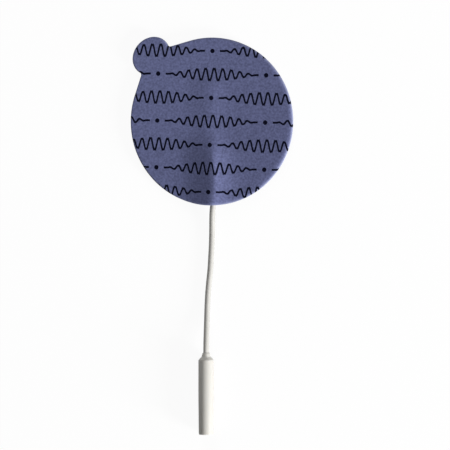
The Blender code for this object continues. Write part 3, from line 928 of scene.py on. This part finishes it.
def field_points(inner):
    """Points in even rows, shifted by half on every other row, clear of the inner outline."""
    near = KDTree(len(inner))
    for index, point in enumerate(inner):
        near.insert((point.x, point.y, 0), index)
    near.balance()
    low_x, low_y = min(p.x for p in inner), min(p.y for p in inner)
    columns = math.ceil((max(p.x for p in inner) - low_x) / FIELD_SPACING)
    lines = math.ceil((max(p.y for p in inner) - low_y) / FIELD_SPACING)
    field = []
    for column in range(columns + 1):
        for line in range(lines + 1):
            x = low_x + (column + 0.5 * (line % 2)) * FIELD_SPACING
            y = low_y + line * FIELD_SPACING
            if near.find((x, y, 0))[2] > FIELD_CLEARANCE:
                field.append(Vector((x, y)))
    return field


# %% Make the blank
KEEP_INSIDE = 1  # the triangulation's word for "only what lies inside the loop"
SAME_POINT = 1e-9


def make_blank():
    """The flat sheet with its rolled edge, its cut wall and its underside, as one closed mesh."""
    rows = inset_rows()
    count = len(rim)
    loop = [(index, (index + 1) % count) for index in range(count)]
    points = rows[-1] + field_points(rows[-1])
    flat, _, faces, origins, _, _ = delaunay_2d_cdt(points, loop, [], KEEP_INSIDE, SAME_POINT)
    found = {source: index for index, sources in enumerate(origins) for source in sources}
    top_z = COVER_BOTTOM + COVER_THICKNESS
    shape = bmesh.new()
    # a share per point of cut wall, and of a painted highlight on the right side's rolled skin
    cut = shape.verts.layers.float.new("cut_wall_and_highlight")
    top = [shape.verts.new((p.x, p.y, top_z)) for p in flat]
    low = [shape.verts.new((p.x, p.y, COVER_BOTTOM)) for p in flat]
    for face in faces:
        shape.faces.new([top[index] for index in face])
        shape.faces.new([low[index] for index in reversed(face)])

    def new_ring(row, heights, wall_and_highlight_shares):
        """A row's points at their heights, each with its share of cut foam and painted highlight.
        """
        ring = [shape.verts.new((p.x, p.y, z)) for p, z in zip(row, heights)]
        for vertex, wall_and_highlight_share in zip(ring, wall_and_highlight_shares):
            vertex[cut] = wall_and_highlight_share
        return ring

    pinches = [pinch_at(point) for point in rim]
    rings = [[top[found[index]] for index in range(count)]]
    for row, inset in list(zip(rows, EDGE_INSETS))[-2:0:-1]:
        # a painted highlight, pale on the rolled skin of the deep side, where the lamp falls
        highlight = HIGHLIGHT_SHARE * max(0.0, 1 - inset * MM / HIGHLIGHT_REACH)
        heights = [top_z - edge_drop(inset * MM, pinch) for pinch in pinches]
        rings.append(new_ring(row, heights, [highlight * pinch for pinch in pinches]))
    wall_tops = [top_z - edge_drop(0, pinch) for pinch in pinches]
    for step in range(WALL_ROWS + 1):
        heights = [high + (COVER_BOTTOM - high) * step / WALL_ROWS for high in wall_tops]
        rings.append(new_ring(rows[0], heights, [1.0] * count))
    for row in rows[1:-1]:
        rings.append(new_ring(row, [COVER_BOTTOM] * count, [0.0] * count))
    rings.append([low[found[index]] for index in range(count)])
    for ring, following in zip(rings, rings[1:]):
        for index in range(count):
            after = (index + 1) % count
            shape.faces.new((ring[after], ring[index], following[index], following[after]))
    return close_shape(shape, "foam_blank")


blank = make_blank()
print("blank", len(blank.data.polygons), "faces")

# %% [markdown]
# ## Foam with a print
#
# The foam is closed-cell polyethylene with a fine matt skin, dyed slate blue. Its colour is
# never quite flat: a painted shade makes it a touch deeper to the front right, and the cells give
# it a fine grain. A dark ink is screen-printed on it in slanting rows, a plain pulse pattern of
# wave bursts and dots, which suits a pad that passes pulses on. It is drawn by arithmetic on the
# place in millimetres, so its edges stay sharp at any size: u runs along a row from a burst's
# middle, and v across it.

# %% Print
ROW_PITCH = 9.8
ROW_TILT = math.radians(-1.2)
ROWS_BELOW = 100.0  # keeps a row's number above zero, where odd and even are told apart
BURST_PERIOD = 46.6
BURST_HALF_LENGTH = 18.5
BURST_HEIGHT = 2.3
WAVE_LENGTH = 3.7
TAIL_LENGTH = 1.6
STROKE_WIDTH = 0.85
DOT_RADIUS = 0.95
INK_SOFTNESS = 0.12

PRINT_STEPS = [
    ("x", "ADD", "x", "wobble"),
    ("y", "ADD", "y", "wobble"),
    ("row place", "MULTIPLY_ADD", "y", 1 / ROW_PITCH, 0.5),
    ("row", "FLOOR", "row place"),
    ("row middle", "MULTIPLY", "row", ROW_PITCH),
    ("v", "SUBTRACT", "y", "row middle"),
    ("row number", "ADD", "row", ROWS_BELOW),
    ("odd", "MODULO", "row number", 2.0),
    ("x", "MULTIPLY_ADD", "odd", BURST_PERIOD / 2, "x"),
    ("column place", "MULTIPLY_ADD", "x", 1 / BURST_PERIOD, 0.5),
    ("column", "FLOOR", "column place"),
    ("column middle", "MULTIPLY", "column", BURST_PERIOD),
    ("u", "SUBTRACT", "x", "column middle"),
    ("u size", "ABSOLUTE", "u"),
    ("swell turn", "MULTIPLY", "u", math.pi / (2 * BURST_HALF_LENGTH)),
    ("full swell", "COSINE", "swell turn"),
    ("in burst", "LESS_THAN", "u size", BURST_HALF_LENGTH),
    ("swell", "MULTIPLY", "full swell", "in burst"),
    ("wave turn", "MULTIPLY", "u", 2 * math.pi / WAVE_LENGTH),
    ("sine", "SINE", "wave turn"),
    ("swelled sine", "MULTIPLY", "sine", "swell"),
    ("height", "MULTIPLY", "swelled sine", BURST_HEIGHT),
    ("cosine", "COSINE", "wave turn"),
    ("swelled cosine", "MULTIPLY", "cosine", "swell"),
    ("slope", "MULTIPLY", "swelled cosine", 2 * math.pi * BURST_HEIGHT / WAVE_LENGTH),
    ("lean square", "MULTIPLY_ADD", "slope", "slope", 1.0),
    ("lean", "SQRT", "lean square"),
    ("above wave", "SUBTRACT", "v", "height"),
    ("gap", "ABSOLUTE", "above wave"),
    ("to stroke", "DIVIDE", "gap", "lean"),
    ("u to dot", "SUBTRACT", BURST_PERIOD / 2, "u size"),
    ("v square", "MULTIPLY", "v", "v"),
    ("to dot square", "MULTIPLY_ADD", "u to dot", "u to dot", "v square"),
    ("to dot", "SQRT", "to dot square"),
]
INK_REACHES = [
    ("stroke", "to stroke", STROKE_WIDTH / 2),
    ("burst", "u size", BURST_HALF_LENGTH + TAIL_LENGTH),
    ("dot", "to dot", DOT_RADIUS),
]


def print_mask(tree, place, wobble):
    """Where the ink is: 1 on bursts and dots, 0 on bare foam, with a soft edge between."""
    mapping = {"Vector": place, "Rotation": (0, 0, -ROW_TILT), "Scale": (1 / MM,) * 3}
    turned_place = add_node(tree, "ShaderNodeMapping", mapping)
    apart = add_node(tree, "ShaderNodeSeparateXYZ", {0: turned_place}).outputs
    known = {"x": apart[0], "y": apart[1], "wobble": wobble}
    add_steps(tree, "ShaderNodeMath", known, PRINT_STEPS)
    for name, distance, reach in INK_REACHES:
        inputs = {
            "Value": known[distance],
            "From Min": reach - INK_SOFTNESS / 2,
            "From Max": reach + INK_SOFTNESS / 2,
            "To Min": 1.0,
            "To Max": 0.0,
        }
        edge = add_node(tree, "ShaderNodeMapRange", inputs, interpolation_type="SMOOTHSTEP")
        known[name] = edge.outputs[0]
    both = [("wave", "MULTIPLY", "stroke", "burst"), ("ink", "MAXIMUM", "wave", "dot")]
    add_steps(tree, "ShaderNodeMath", known, both)
    return known["ink"]


# %% Foam
FOAM_BLUE = "#757BA6"
# the darker blue, laid in by random clouds and by a painted shade to the front right
FOAM_SHADE_AND_CLOUD = "#6B7098"
# the raw foam of the cut wall, and the pale of the painted highlight on the rolled skin
FOAM_CUT_AND_HIGHLIGHT = "#B0B5D2"
INK = "#05071A"
CELL_SIZE = 0.55 * MM  # real cells are near 0.2 mm and would not show
CELL_DEPTH = 0.05 * MM
GRAIN_SIZE = 0.9 * MM  # clumps of cells, drawn coarse for the same reason
GRAIN_DEPTH = 0.25
CLOUD_SIZE = 14.0 * MM
CLOUD_DEPTH = 0.5
# a painted shade: the darker blue's share rises to the right and to the front
SHADE_MIDDLE = 0.42  # the share of the darker blue at the pad's centre, the middle of the painted shade
SHADE_TO_RIGHT = 0.8 / (2 * PAD_RADIUS)
SHADE_TO_FRONT = 0.45 / (2 * PAD_RADIUS)
WOBBLE_SIZE = 0.8 * MM
WOBBLE_DEPTH = 0.16  # in millimetres, as the print is
WEAR_SIZE = 0.5 * MM
WEAR_SHARE = 0.8  # how much ink is left where it is thin
INK_ABOVE = COVER_BOTTOM + 0.3 * MM  # below this height the cut wall and underside are bare

FOAM_NOISES = [
    ("cloud noise", CLOUD_SIZE, 3.0),
    ("grain noise", GRAIN_SIZE, 3.0),
    ("wobble noise", WOBBLE_SIZE, 2.0),
    ("wear noise", WEAR_SIZE, 2.0),
]
FOAM_STEPS = [
    # a painted shade, deeper to the right and the front, to which random clouds are added
    ("to right", "MULTIPLY", "x", SHADE_TO_RIGHT),
    ("to front", "MULTIPLY", "y", -SHADE_TO_FRONT),
    ("slant", "ADD", "to right", "to front"),
    ("slant", "ADD", "slant", SHADE_MIDDLE),
    ("cloud", "MULTIPLY_ADD", "cloud noise", CLOUD_DEPTH, -CLOUD_DEPTH / 2),
    ("deep", "ADD", "slant", "cloud"),
    ("wobble", "MULTIPLY_ADD", "wobble noise", WOBBLE_DEPTH, -WOBBLE_DEPTH / 2),
    ("on top", "GREATER_THAN", "z", INK_ABOVE),
]


def foam_material():
    """Closed-cell foam: matt and finely grained, with a dark screen ink that wears thin."""
    material, tree, output = new_material("closed_cell_foam")
    place = add_node(tree, "ShaderNodeTexCoord").outputs["Object"]
    apart = add_node(tree, "ShaderNodeSeparateXYZ", {0: place}).outputs
    known = {"x": apart[0], "y": apart[1], "z": apart[2]}
    for name, size, detail in FOAM_NOISES:
        inputs = {"Vector": place, "Scale": 1 / size, "Detail": detail}
        known[name] = add_node(tree, "ShaderNodeTexNoise", inputs).outputs[0]
    add_steps(tree, "ShaderNodeMath", known, FOAM_STEPS)

    # the darker blue comes in with the painted shade and the random clouds
    deep = add_node(tree, "ShaderNodeClamp", {0: known["deep"]})
    shade_and_cloud_tones = {"Factor": deep, 6: linear(FOAM_BLUE), 7: linear(FOAM_SHADE_AND_CLOUD)}
    shaded_and_clouded = add_node(tree, "ShaderNodeMix", shade_and_cloud_tones, data_type="RGBA").outputs[2]
    grains = {
        "Value": known["grain noise"],
        "From Min": 0.3,
        "From Max": 0.7,
        "To Min": 1 - GRAIN_DEPTH,
        "To Max": 1 + GRAIN_DEPTH,
    }
    speckles = {0: shaded_and_clouded, "Scale": add_node(tree, "ShaderNodeMapRange", grains)}
    speckled = add_node(tree, "ShaderNodeVectorMath", speckles, operation="SCALE")
    # the cut wall's paler foam, and the painted highlight on the right side's rolled skin
    wall_and_highlight = add_node(tree, "ShaderNodeAttribute", attribute_name="cut_wall_and_highlight").outputs["Fac"]
    bares = {"Factor": wall_and_highlight, 6: speckled, 7: linear(FOAM_CUT_AND_HIGHLIGHT)}
    bare = add_node(tree, "ShaderNodeMix", bares, data_type="RGBA").outputs[2]

    known["print"] = print_mask(tree, place, known["wobble"])
    wears = {"Value": known["wear noise"], "From Min": 0.2, "From Max": 0.35, "To Min": WEAR_SHARE}
    known["wear"] = add_node(tree, "ShaderNodeMapRange", wears).outputs[0]
    worn = [("print", "MULTIPLY", "print", "on top"), ("ink", "MULTIPLY", "print", "wear")]
    add_steps(tree, "ShaderNodeMath", known, worn)
    inked = {"Factor": known["ink"], 6: bare, 7: linear(INK)}

    cells = {"Vector": place, "Scale": 1 / CELL_SIZE, "Randomness": 1.0}
    cell = add_node(tree, "ShaderNodeTexVoronoi", cells)
    rough = {"Value": cell, "To Min": 0.74, "To Max": 0.88}
    bumps = {"Height": cell, "Strength": 0.5, "Distance": CELL_DEPTH}
    skin = {
        "Base Color": add_node(tree, "ShaderNodeMix", inked, data_type="RGBA").outputs[2],
        "Roughness": add_node(tree, "ShaderNodeMapRange", rough),
        "IOR": 1.5,
        "Specular IOR Level": 0.06,
        "Normal": add_node(tree, "ShaderNodeBump", bumps),
    }
    return finish_material(material, tree, output, skin)


foam = foam_material()
print("foam has", len(foam.node_tree.nodes), "nodes")

# %% [markdown]
# ## Draping the blank
#
# The foam has no pocket for the lead: it is laid over it and stuck down, so it stands up as a
# long ridge that is high over the wire and low over the bare strands. That shape follows a
# rule, so Geometry Nodes make it. A guide line lies where strands and wire lie, each point of the
# blank looks up its nearest place on it, and is lifted by its distance from there. Every size is
# an input of the tree.

# %% The guide line
GUIDE_SPACING = 0.5 * MM
STRAND_ROUTE = [
    (0.1 * MM, 20.0 * MM),
    (-0.1 * MM, 14.0 * MM),
    (-0.3 * MM, 7.0 * MM),
    (-0.3 * MM, 0.0 * MM),
    (0.1 * MM, -6.0 * MM),
    (0.65 * MM, -11.5 * MM),
]
BURIED_POINTS = 5  # the lead's first points, which lie under the cover
PAST_RIM = (0.45 * MM, -38.0 * MM)

buried_route = [(x, y) for x, y, z in LEAD_ROUTE[:BURIED_POINTS]]
guide_route = STRAND_ROUTE + buried_route + [PAST_RIM]
guide_points = spline_points([(x, y, 0) for x, y in guide_route], GUIDE_SPACING)
guide_mesh = bpy.data.meshes.new("drape_guide")
guide_edges = [(index, index + 1) for index in range(len(guide_points) - 1)]
guide_mesh.from_pydata(guide_points, guide_edges, [])
guide = place_object("drape_guide", guide_mesh)
guide.hide_render = True
print("guide", len(guide_points), "points")

# %% The drape's sizes
DRAPE_SIZES = {
    "Wire rise": WIRE_DIAMETER + LAYER_GAP,
    "Strand rise": 0.54 * MM,
    "Insulation end": LEAD_ROUTE[0][1],
    "Shoulder": 14.0 * MM,
    "Strand tip": 14.5 * MM,
    "Fade": 5.5 * MM,
    "Left flank": 12.0 * MM,
    "Right flank": 13.5 * MM,
    "Left curve": 1.7,
    "Right curve": 3.0,
    "Left round": 3.0 * MM,
    "Right round": 0.9 * MM,
    "Strand round": 2.5 * MM,
    "Narrow": 0.35,
    "Ripple height": 0.05 * MM,
    "Ripple length": 16.0 * MM,
}

# %% The drape's tree
SIDE_SIZES = [
    ("side flank", "Left flank", "Right flank"),
    ("curve", "Left curve", "Right curve"),
    ("side round", "Left round", "Right round"),
]
LENGTH_STEPS = [
    ("wire end", "ADD", "Insulation end", "Shoulder"),
    ("strand end", "ADD", "Strand tip", "Fade"),
    ("on right", "GREATER_THAN", "x", "line x"),
]
LENGTH_FADES = [
    ("over wire", "Insulation end", "wire end"),
    ("over strands", "Strand tip", "strand end"),
]
LIFT_STEPS = [
    ("past wire", "SUBTRACT", 1.0, "over wire"),
    ("low rise", "MULTIPLY", "Strand rise", "over strands"),
    ("low rise", "MULTIPLY", "low rise", "past wire"),
    ("rise", "MULTIPLY_ADD", "Wire rise", "over wire", "low rise"),
    ("narrower", "MULTIPLY", "Narrow", "past wire"),
    ("width", "SUBTRACT", 1.0, "narrower"),
    ("flank", "MULTIPLY", "side flank", "width"),
    ("crest", "MULTIPLY_ADD", "past wire", "Strand round", "side round"),
    ("distance square", "MULTIPLY", "distance", "distance"),
    ("slant square", "MULTIPLY_ADD", "crest", "crest", "distance square"),
    ("slant", "SQRT", "slant square"),
    ("reach", "SUBTRACT", "slant", "crest"),
    ("gone", "DIVIDE", "reach", "flank"),
    ("left", "SUBTRACT", 1.0, "gone"),
    ("share", "MAXIMUM", "left", 0.0),
    ("hollowed", "POWER", "share", "curve"),
    ("ridge", "MULTIPLY", "rise", "hollowed"),
    ("ripple", "MULTIPLY", "ripple noise", "Ripple height"),
    ("lift", "ADD", "ridge", "ripple"),
]


def drape_tree():
    """Lift each point by its distance from the guide line."""
    tree, given = new_tree("drape_over_lead", DRAPE_SIZES, [("Guide", "NodeSocketObject")])
    known = dict(given.items())
    place = add_node(tree, "GeometryNodeInputPosition")
    apart = add_node(tree, "ShaderNodeSeparateXYZ", {0: place}).outputs
    known.update({"x": apart[0], "y": apart[1]})
    flat_place = add_node(tree, "ShaderNodeCombineXYZ", {0: known["x"], 1: known["y"]})
    info = add_node(tree, "GeometryNodeObjectInfo", {"Object": known["Guide"]})
    looked_up = {0: info.outputs["Geometry"], "Sample Position": flat_place}
    nearest = add_node(tree, "GeometryNodeProximity", looked_up, target_element="EDGES").outputs
    line = add_node(tree, "ShaderNodeSeparateXYZ", {0: nearest["Position"]})
    known.update({"line x": line.outputs[0], "distance": nearest["Distance"]})
    add_steps(tree, "ShaderNodeMath", known, LENGTH_STEPS)
    for name, start, end in LENGTH_FADES:
        fade = {"Value": known["y"], "From Min": known[start], "From Max": known[end]}
        fade.update({"To Min": 1.0, "To Max": 0.0})
        node = add_node(tree, "ShaderNodeMapRange", fade, interpolation_type="SMOOTHSTEP")
        known[name] = node.outputs[0]
    for name, left, right in SIDE_SIZES:
        sides = {"Factor": known["on right"], 2: known[left], 3: known[right]}
        known[name] = add_node(tree, "ShaderNodeMix", sides).outputs[0]
    add_steps(tree, "ShaderNodeMath", known, [("per metre", "DIVIDE", 1.0, "Ripple length")])
    ripples = {"Vector": flat_place, "Scale": known["per metre"], "Detail": 1.0}
    known["ripple noise"] = add_node(tree, "ShaderNodeTexNoise", ripples).outputs[0]
    add_steps(tree, "ShaderNodeMath", known, LIFT_STEPS)

    move = add_node(tree, "ShaderNodeCombineXYZ", {2: known["lift"]})
    moved = add_node(tree, "GeometryNodeSetPosition", {0: known["Geometry"], "Offset": move})
    smooth = add_node(tree, "GeometryNodeSetShadeSmooth", {0: moved})
    real = add_node(tree, "GeometryNodeRealizeInstances", {0: smooth})
    painted = {"Geometry": real, "Material": known["Material"]}
    finished = add_node(tree, "GeometryNodeSetMaterial", painted)
    add_node(tree, "NodeGroupOutput", {0: finished})
    return tree


# %% Make the cover
COVER_SHARP_ANGLE = math.radians(50)

drape_inputs = {"Guide": guide, "Material": foam, **DRAPE_SIZES}
cover = run_tree(blank, drape_tree(), drape_inputs, "foam_cover")
bpy.data.objects.remove(guide, do_unlink=True)
cover.data.set_sharp_from_angle(angle=COVER_SHARP_ANGLE)
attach(cover, "root")
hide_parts("backing")
print("cover", len(cover.data.polygons), "faces, materials", len(cover.data.materials))
